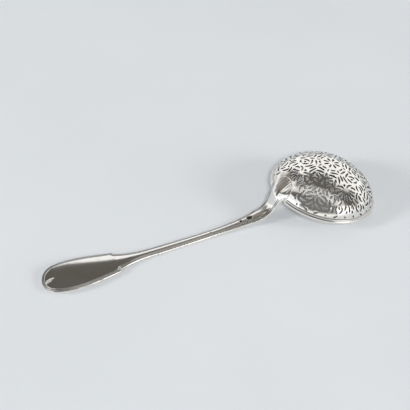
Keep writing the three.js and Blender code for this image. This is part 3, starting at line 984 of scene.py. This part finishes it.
bpy.ops.object.select_all(action="DESELECT")
bpy.ops.mesh.primitive_grid_add(x_subdivisions=len(rows) - 1, y_subdivisions=around - 1, size=2)
handle = bpy.context.object
handle.name = "handle_threaded"
co = np.zeros(len(handle.data.vertices) * 3)
handle.data.vertices.foreach_get("co", co)
co = co.reshape(-1, 3)
row = np.rint((co[:, 0] + 1) / 2 * (len(rows) - 1)).astype(int)
column = np.rint((co[:, 1] + 1) / 2 * (around - 1)).astype(int)
handle.data.vertices.foreach_set("co", (forged[row, column] * MM).ravel())
set_tarnish_and_shade(handle, shaded[row, column])
bpy.ops.object.mode_set(mode="EDIT")
bpy.ops.mesh.select_all(action="SELECT")
bpy.ops.mesh.remove_doubles(threshold=1e-6)
bpy.ops.mesh.normals_make_consistent(inside=False)
bpy.ops.object.mode_set(mode="OBJECT")
bpy.ops.object.shade_smooth_by_angle(angle=math.radians(60))
print("handle:", len(handle.data.polygons), "faces")

# %% [markdown]
# ## The silver
# Old silver is bright where a cloth reaches it and grey-brown where it doesn't: in the threads, the punch
# marks and the sawn edges. The sawn edges are painted near black, which is painted shade that darkens the
# bowl's openings as well as tarnish. Each mesh carries a number from 0 to 1 for how dark a point is painted,
# and one node group turns that number and a fine noise into colour, roughness and tiny scratches. The three
# finishes share the group.

# %% How dark each point is painted: tarnish, and painted shade in the bowl's openings
def upright(piece):
    """Points of a piece on the bowl, turned back to the upright bowl: radius and height in millimetres."""
    x, y, z = np.array([v.co[:] for v in piece.data.vertices]).T / MM
    x, z = x - bowl_x, z - bowl_z
    return np.hypot(tilt_cos * x - tilt_sin * z, y), tilt_sin * x + tilt_cos * z


depth = -over_bowl(*upright(bowl))
# The sawn walls of the openings get the full number and are painted near black: their tarnish, and painted
# shade that darkens the openings. The inside of the bowl keeps a low number and stays bright.
set_tarnish_and_shade(bowl, ease(depth, 0.01, 0.05) - 0.85 * ease(depth, 0.86, 0.895))
wire_radius, _ = upright(wire)
set_tarnish_and_shade(wire, 0.6 * ease(wire_face + 0.12 - wire_radius, 0.0, 0.1))
print("points of the bowl below its outside:", int((depth > 0.3).sum()), "of", len(depth))

# %% The shared group for wear, tarnish and painted shade
darkening_from, darkening_to = 0.15, 0.95
film_depth, film_start = 0.25, -0.1
scratch_roughness, darkening_roughness = 0.08, 0.3
scratch_height = 0.05

wear_and_shade = bpy.data.node_groups.new("silver_wear_and_shade", "ShaderNodeTree")
for name, kind, value in (
    ("Bright", "NodeSocketColor", (0.9, 0.89, 0.86, 1)),
    ("Dark", "NodeSocketColor", (0.2, 0.18, 0.15, 1)),
    ("Polish", "NodeSocketFloat", 0.1),
    ("Grain", "NodeSocketFloat", 400.0),
    ("Hidden", "NodeSocketFloat", 0.0),
):
    socket = wear_and_shade.interface.new_socket(name, in_out="INPUT", socket_type=kind)
    socket.default_value = value
for name, kind in (
    ("Colour", "NodeSocketColor"),
    ("Roughness", "NodeSocketFloat"),
    ("Height", "NodeSocketFloat"),
):
    wear_and_shade.interface.new_socket(name, in_out="OUTPUT", socket_type=kind)
into = add_node(wear_and_shade, "NodeGroupInput", (-1000, 0)).outputs
out = add_node(wear_and_shade, "NodeGroupOutput", (600, 0))
place = add_node(wear_and_shade, "ShaderNodeTexCoord", (-1000, -350))
scratch = fill(add_node(wear_and_shade, "ShaderNodeTexNoise", (-700, -250)), Detail=4.0, Roughness=0.6)
cloud = fill(add_node(wear_and_shade, "ShaderNodeTexNoise", (-700, -500)), Scale=90.0, Detail=3.0)
wave = fill(add_node(wear_and_shade, "ShaderNodeTexNoise", (-700, -750)), Scale=38.0, Detail=1.0)
for noise in (scratch, cloud, wave):
    wear_and_shade.links.new(place.outputs["Object"], noise.inputs["Vector"])
wear_and_shade.links.new(into["Grain"], scratch.inputs["Scale"])
# Tarnish in the threads, punch marks and joints, and painted shade on the walls of the bowl's openings, from
# the Hidden number.
tarnish_and_shade = ramp(wear_and_shade, (-450, 150), into["Hidden"], darkening_from, darkening_to)
film = reckon(wear_and_shade, "MULTIPLY_ADD", (-450, -100), cloud.outputs["Fac"], film_depth, film_start)
total = reckon(wear_and_shade, "ADD", (-250, 50), tarnish_and_shade, film, use_clamp=True)
uneven = reckon(
    wear_and_shade, "MULTIPLY_ADD", (-250, -200), scratch.outputs["Fac"], scratch_roughness, into["Polish"],
)
colour = blend(wear_and_shade, (0, 200), total, into["Bright"], into["Dark"])
rough = reckon(wear_and_shade, "MULTIPLY_ADD", (0, -100), total, darkening_roughness, uneven)
height = reckon(
    wear_and_shade, "MULTIPLY_ADD", (0, -400), scratch.outputs["Fac"], scratch_height, wave.outputs["Fac"],
)
for name, value in (("Colour", colour), ("Roughness", rough), ("Height", height)):
    wear_and_shade.links.new(value, out.inputs[name])
print("wear group:", len(wear_and_shade.nodes), "nodes")


# %% The three finishes
def silver_finish(name, bright, dark, polish, bump, grain=900):
    finish = bpy.data.materials.new(name)
    finish.use_nodes = True
    tree = finish.node_tree
    shader = tree.nodes["Principled BSDF"]
    shader.inputs["Metallic"].default_value = 1.0
    hidden = add_node(tree, "ShaderNodeAttribute", (-900, 0), attribute_name="hidden")
    group = add_node(tree, "ShaderNodeGroup", (-650, 0), node_tree=wear_and_shade)
    fill(group, Bright=bright, Dark=dark, Polish=polish, Grain=grain)
    relief = fill(add_node(tree, "ShaderNodeBump", (-300, -250)), Strength=bump, Distance=0.0002)
    tree.links.new(hidden.outputs["Fac"], group.inputs["Hidden"])
    tree.links.new(group.outputs["Colour"], shader.inputs["Base Color"])
    tree.links.new(group.outputs["Roughness"], shader.inputs["Roughness"])
    tree.links.new(group.outputs["Height"], relief.inputs["Height"])
    tree.links.new(relief.outputs["Normal"], shader.inputs["Normal"])
    print("finish:", name)
    return finish


# The near-black Dark of the pierced silver paints the walls of the openings: tarnish, and painted shade that
# darkens the openings.
pierced_silver = silver_finish(
    "pierced_silver", (0.9, 0.88, 0.835, 1), (0.03, 0.027, 0.023, 1), polish=0.05, bump=0.12,
)
moulded_silver = silver_finish(
    "moulded_silver", (0.88, 0.865, 0.83, 1), (0.16, 0.145, 0.12, 1), polish=0.12, bump=0.15,
)
threaded_silver = silver_finish(
    "threaded_silver", (0.9, 0.885, 0.855, 1), (0.08, 0.072, 0.06, 1), polish=0.05, bump=0.12,
)

# %% [markdown]
# ## Putting it together
# Each piece takes its finish, rides on the one body of the model and stands for its own solid.

# %% Finishes, body and solids
for piece, finish, node, slot in (
    (bowl, pierced_silver, "bowl", "bowl_silver"),
    (wire, moulded_silver, "rim_wire", "wire_silver"),
    (handle, threaded_silver, "handle", "handle_silver"),
):
    piece.data.materials.clear()
    piece.data.materials.append(finish)
    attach(piece, "root")
    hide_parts(node)
    print(piece.name, "stands for", node)
